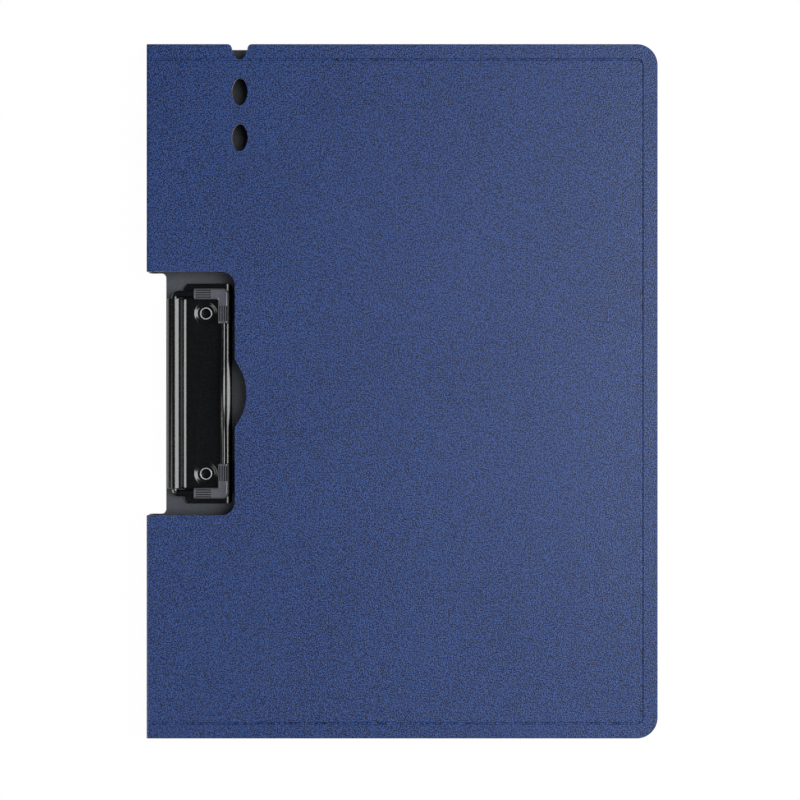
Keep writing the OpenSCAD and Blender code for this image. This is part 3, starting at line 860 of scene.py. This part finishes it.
# %% A socket that takes Python's arithmetic
class Value:
    def __init__(self, finish, socket):
        self.finish, self.socket = finish, socket

    def math(self, operation, *inputs):
        return self.finish.node("Math", dict(enumerate(inputs)), operation=operation)

    def __add__(self, other):
        return self.math("ADD", self, other)

    def __sub__(self, other):
        return self.math("SUBTRACT", self, other)

    def __rsub__(self, other):
        return self.math("SUBTRACT", other, self)

    def __mul__(self, other):
        return self.math("MULTIPLY", self, other)

    __radd__, __rmul__ = __add__, __mul__


# %% A material under construction
class Finish:
    def __init__(self, name):
        self.material = bpy.data.materials.new(name)
        self.material.use_nodes = True
        self.tree = self.material.node_tree
        self.tree.nodes.clear()

    def node(self, kind, sockets=None, output=0, **settings):
        """Adds a node, sets it up, and gives its sockets their values or links."""
        made = self.tree.nodes.new("ShaderNode" + kind)
        for name, value in settings.items():
            setattr(made, name, value)
        for name, value in (sockets or {}).items():
            if isinstance(value, Value):
                self.tree.links.new(value.socket, made.inputs[name])
            else:
                made.inputs[name].default_value = value
        return Value(self, made.outputs[output])

    def here(self):
        return self.node("TexCoord", output="Object")

    def noise(self, size, detail=2, roughness=0.5):
        """Noise with features of about that size in metres."""
        return self.node("TexNoise", {"Vector": self.here(), "Scale": 1 / size, "Detail": detail,
                                      "Roughness": roughness})

    def between(self, share, low, high):
        """A colour between two others."""
        return self.node("Mix", {"Factor": share, "A": (*low, 1), "B": (*high, 1)},
                         output="Result", data_type="RGBA")

    def surface(self, **sockets):
        shader = self.node("BsdfPrincipled", {name.replace("_", " "): v for name, v in sockets.items()})
        self.node_out(shader)
        return self.material

    def node_out(self, shader):
        made = self.tree.nodes.new("ShaderNodeOutputMaterial")
        self.tree.links.new(shader.socket, made.inputs["Surface"])


# %% Colours as a screen shows them
def srgb(red, green, blue):
    """A colour as a screen shows it, from 0 to 255, as the linear values that a shader takes."""
    def linear(c):
        c /= 255
        return c / 12.92 if c <= 0.04045 else ((c + 0.055) / 1.055) ** 2.4
    return tuple(linear(c) for c in (red, green, blue))


# %% [markdown]
# The real sheet is rolled with a fine sand grain. One noise drives both the bump and the colour, and
# the colour is darker where the bump is low: the grain's own tone, with painted shade in its hollows.
# A much coarser noise shifts the balance a little from place to place, because an even grain looks
# printed.

# %% The blue sheet
def blue_sheet():
    finish = Finish("blue_sand_sheet")
    grain = finish.noise(0.58 * mm, detail=1, roughness=0.6)
    patch = finish.noise(60 * mm, detail=2)
    speck = grain + (patch - 0.5) * 0.05
    share = finish.node("MapRange", {"Value": speck, "From Min": 0.44, "From Max": 0.57})
    # Dark where the grain is low: grain tone, with painted shade in the hollows
    colour = finish.between(share, srgb(0, 17, 54), srgb(41, 72, 134))
    bump = finish.node("Bump", {"Height": grain, "Strength": 1.0, "Distance": 0.22 * mm})
    return finish.surface(Base_Color=colour, Roughness=0.45, Specular_IOR_Level=0.4, Normal=bump)


# %% [markdown]
# The lining is the same kind of plastic in dark grey, with a weaker grain and broader patches. Most of
# it lies in shadow, so it is kept light enough to be told from the black clip.

# %% The dark lining
def dark_lining():
    finish = Finish("dark_lining")
    grain = finish.noise(0.6 * mm, detail=3, roughness=0.6)
    patch = finish.noise(40 * mm, detail=2)
    share = finish.node("MapRange", {"Value": grain + (patch - 0.5) * 0.3, "From Min": 0.3, "From Max": 0.7})
    colour = finish.between(share, srgb(50, 54, 61), srgb(69, 74, 82))
    bump = finish.node("Bump", {"Height": grain, "Strength": 0.25, "Distance": 0.08 * mm})
    return finish.surface(Base_Color=colour, Roughness=0.6, Normal=bump)


# %% [markdown]
# The clip is steel under a glossy black coat. A metallic finish would mirror the lamps too brightly, so
# the coat is a plain dark surface of low roughness, with a faint wave as sprayed paint has. On the
# rivets a highlight is painted on the crest of the rolled lip. A mask finds that crest by its height,
# and turns the coat to light bare metal there, which stands in for the lamps' highlight.

# %% The black coat, and the rivets with a painted highlight on the crest
def black_steel():
    finish = Finish("black_steel")
    orange_peel = finish.noise(2.5 * mm, detail=2)
    dust = finish.noise(0.8 * mm, detail=4, roughness=0.7)
    share = finish.node("MapRange", {"Value": dust, "From Min": 0.45, "From Max": 0.75})
    colour = finish.between(share, srgb(8, 10, 12), srgb(18, 20, 23))
    rough = 0.15 + share * 0.1
    bump = finish.node("Bump", {"Height": orange_peel, "Strength": 0.05, "Distance": 0.1 * mm})
    return finish.surface(Base_Color=colour, Roughness=rough, IOR=1.6, Normal=bump)


def worn_rivet():
    """The black coat again, with a painted highlight on the crest of the rolled lip."""
    finish = Finish("worn_rivet")
    height = finish.node("SeparateXYZ", {"Vector": finish.here()}, output="Z")
    highlight_edge_noise = finish.noise(0.7 * mm, detail=3)
    # Painted highlight: the lip's crest turns to light bare metal
    painted_highlight = finish.node("MapRange", {"Value": height + (highlight_edge_noise - 0.5) * 0.1 * mm,
                                    "From Min": lip_low + 0.88 * rivet_lip_t,
                                    "From Max": lip_low + 0.99 * rivet_lip_t},
                       interpolation_type="SMOOTHSTEP")
    colour = finish.between(painted_highlight, srgb(10, 11, 13), srgb(190, 192, 196))
    return finish.surface(Base_Color=colour, Metallic=painted_highlight * 0.6, Roughness=0.25 + painted_highlight * 0.2)


# %% [markdown]
# The sleeves are smooth grey plastic. The second slot gets a dark, dull finish, which is painted shade
# in the grooves. A mask could be worked out from the height instead, but the slot follows the grooves
# exactly.

# %% The sleeves, and the painted shade in their grooves
def sleeve_plastic():
    finish = Finish("sleeve_plastic")
    grain = finish.noise(0.35 * mm, detail=3)
    share = finish.node("MapRange", {"Value": grain, "From Min": 0.3, "From Max": 0.7})
    colour = finish.between(share, srgb(76, 78, 85), srgb(100, 102, 110))
    bump = finish.node("Bump", {"Height": grain, "Strength": 0.15, "Distance": 0.05 * mm})
    return finish.surface(Base_Color=colour, Roughness=0.25, Normal=bump)


def groove_dirt():
    """Painted shade in the grip grooves: dark and dull."""
    finish = Finish("groove_dirt")
    grain = finish.noise(0.4 * mm, detail=3)
    colour = finish.between(grain, srgb(16, 17, 19), srgb(34, 35, 38))
    return finish.surface(Base_Color=colour, Roughness=0.7, Specular_IOR_Level=0.3)


# %% [markdown]
# The stiffener boards are sealed between the sheet and the lining, so they keep their measured solids
# and only get the dull, fibrous look of grey board, for whoever takes the covers apart.

# %% The stiffener board, and each finish made once
def grey_board():
    finish = Finish("grey_board")
    fibre = finish.noise(0.4 * mm, detail=4, roughness=0.7)
    share = finish.node("MapRange", {"Value": fibre, "From Min": 0.3, "From Max": 0.7})
    colour = finish.between(share, srgb(128, 124, 117), srgb(172, 168, 160))
    bump = finish.node("Bump", {"Height": fibre, "Strength": 0.4, "Distance": 0.1 * mm})
    return finish.surface(Base_Color=colour, Roughness=0.85, Normal=bump)


blue, dark, steel = blue_sheet(), dark_lining(), black_steel()
rivet_highlight, plastic, groove, board = worn_rivet(), sleeve_plastic(), groove_dirt(), grey_board()
print("finishes:", len(bpy.data.materials))

# %% [markdown]
# ## Each piece's finish, and the bodies
# Every piece gets its finish and hides the solid that it stands for. The spine's pieces and the clip's
# move with a body, and the covers' sheets and linings are put on none. The sheets could be cut at the
# creases as the solids are, but then a gap would open there. So a cover's sheet and lining run across
# the crease in one piece, and are not bent there.

# %% Finish a piece and hide the solid it stands for
def finish_piece(obj, material, slot, *nodes):
    if not obj.data.materials:
        obj.data.materials.append(None)
    obj.data.materials[0] = material
    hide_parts(*nodes)


def across(obj, crease, cover, spine_up, width):
    """Puts obj's placement into its mesh; the band across the crease is worked out, but obj is not bent."""
    middle = Vector(joints[crease]["pos_m"])
    to_spine = Vector((-1, 0, spine_up)).normalized() * width / 2
    near_cover, near_spine = middle - to_spine, middle + to_spine
    if cover == "front_cover":
        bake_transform(obj)
    else:
        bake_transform(obj)


# %% The sheets and linings
sheet_band = fold_round * sqrt(2)
liner_band = (crease_reach - crease_r) * sqrt(2)
for cover, crease, up in (("back_cover", "back_crease", 1), ("front_cover", "front_crease", -1)):
    sheet = bpy.data.objects[f"{cover}_sheet"]
    finish_piece(sheet, blue, "cover_sheet", f"{cover}_skin")
    across(sheet, crease, cover, up, sheet_band)
    liner = bpy.data.objects[f"{cover}_liner"]
    finish_piece(liner, dark, "lining_sheet", f"{cover}_lining")
    across(liner, crease, cover, up, liner_band)
for part in spine_parts:
    sheet, liner = spine_pieces[f"spine_sheet_{part}"], spine_pieces[f"spine_liner_{part}"]
    finish_piece(sheet, blue, "cover_sheet", f"spine_skin_{part}")
    finish_piece(liner, dark, "lining_sheet", f"spine_lining_{part}")
    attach(sheet, "spine")
    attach(liner, "spine")

# %% The clip's pieces, and the boards' finish
for obj, material, slot, node, body in (
    (base, steel, "clip_steel", "clip_base_plate", "back_cover"),
    (rivets[0], rivet_highlight, "clip_steel", "clip_rivet_lower", "back_cover"),
    (rivets[1], rivet_highlight, "clip_steel", "clip_rivet_upper", "back_cover"),
    (wire, steel, "clip_steel", "clip_wire", "wire_bail"),
    (sleeves[0], plastic, "sleeve_plastic", "corner_sleeve_upper", "wire_bail"),
    (sleeves[1], plastic, "sleeve_plastic", "corner_sleeve_lower", "wire_bail"),
):
    finish_piece(obj, material, slot, node)
    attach(obj, body)
# The second slot holds the painted shade in the grooves
for obj in sleeves:
    obj.data.materials[1] = groove
for node in ("back_cover_board", "front_cover_board"):
    obj = frame["nodes"][node]
    obj.data.materials.clear()
    obj.data.materials.append(board)
print("pieces placed")

# %% [markdown]
# ## Floor, light and camera
# The ground is white. More light could make it so, but would wash out the blue. So the floor glows
# white for the camera, and fainter for reflections, and is a plain pale surface for all other light.
# The camera gets a fiftieth of that plain surface too, which leaves a faint shadow.

# %% The floor
def white_floor():
    finish = Finish("white_floor")
    shade = finish.node("BsdfDiffuse", {"Color": (0.9, 0.9, 0.9, 1)})
    glow = finish.node("Emission", {"Color": (1, 1, 1, 1), "Strength": 1.0})
    camera = finish.node("LightPath", output="Is Camera Ray")
    glossy = finish.node("LightPath", output="Is Glossy Ray")
    through = finish.node("LightPath", output="Is Transmission Ray")
    seen = (camera + through) * 0.98 + glossy * 0.3
    mixed = finish.node("MixShader", {0: seen, 1: shade, 2: glow})
    finish.node_out(mixed)
    return finish.material


floor_gap = 0.05 * mm  # keeps the floor out of the plane of the folder's underside
bpy.ops.object.select_all(action="DESELECT")
bpy.ops.mesh.primitive_plane_add(size=6, location=(0, 0, -floor_gap))
floor = start("floor")
floor.data.materials.append(white_floor())

# %% [markdown]
# Three soft boxes light the folder. A broad one on the right makes the cover brighter towards the
# right and draws the long line on the barrel. One far on the left lights the clip from its other side,
# and a small one low at the left lights the lower fold of the spine. The sky is dim, so that the black
# steel stays black. A bright sky would be simpler, but would fill every shadow in the cut-out.

# %% The lamps and the sky
def soft_box(name, place_at, aim, width, height, power):
    lamp = bpy.data.lights.new(name, "AREA")
    lamp.shape, lamp.size, lamp.size_y, lamp.energy = "RECTANGLE", width, height, power
    obj = bpy.data.objects.new(name, lamp)
    obj.location = place_at
    obj.rotation_euler = (Vector(place_at) - Vector(aim)).to_track_quat("Z", "Y").to_euler()
    bpy.context.scene.collection.objects.link(obj)
    return obj


soft_box("right_box", (0.9, 0.08, 1.1), (-0.1, 0, 0), 0.9, 1.6, 30)
soft_box("left_box", (-0.84, -0.35, 0.95), (-0.1, -0.04, 0), 0.7, 0.5, 2.6)
soft_box("low_box", (-0.62, -0.26, 0.13), (-0.116, -0.12, 0.01), 0.24, 0.2, 1.5)
world = bpy.data.worlds.new("sky")
bpy.context.scene.world = world
world.use_nodes = True
world.node_tree.nodes["Background"].inputs["Color"].default_value = (1, 1, 1, 1)
world.node_tree.nodes["Background"].inputs["Strength"].default_value = 0.06

# %% [markdown]
# The camera looks straight down. Its height could be anything with a lens to match, but the back cover
# shows a little smaller than the front one only from near by, and this height gives that difference.

# %% The camera, straight above
camera = bpy.data.cameras.new("camera")
camera.lens, camera.sensor_width = 74.4, 36
camera_obj = bpy.data.objects.new("camera", camera)
camera_x, camera_y, camera_up = -0.86 * mm, -3.95 * mm, 750 * mm
camera_obj.location = (camera_x, camera_y, closed_h + camera_up)
bpy.context.scene.collection.objects.link(camera_obj)
bpy.context.scene.camera = camera_obj
bpy.context.scene.view_settings.view_transform = "Standard"
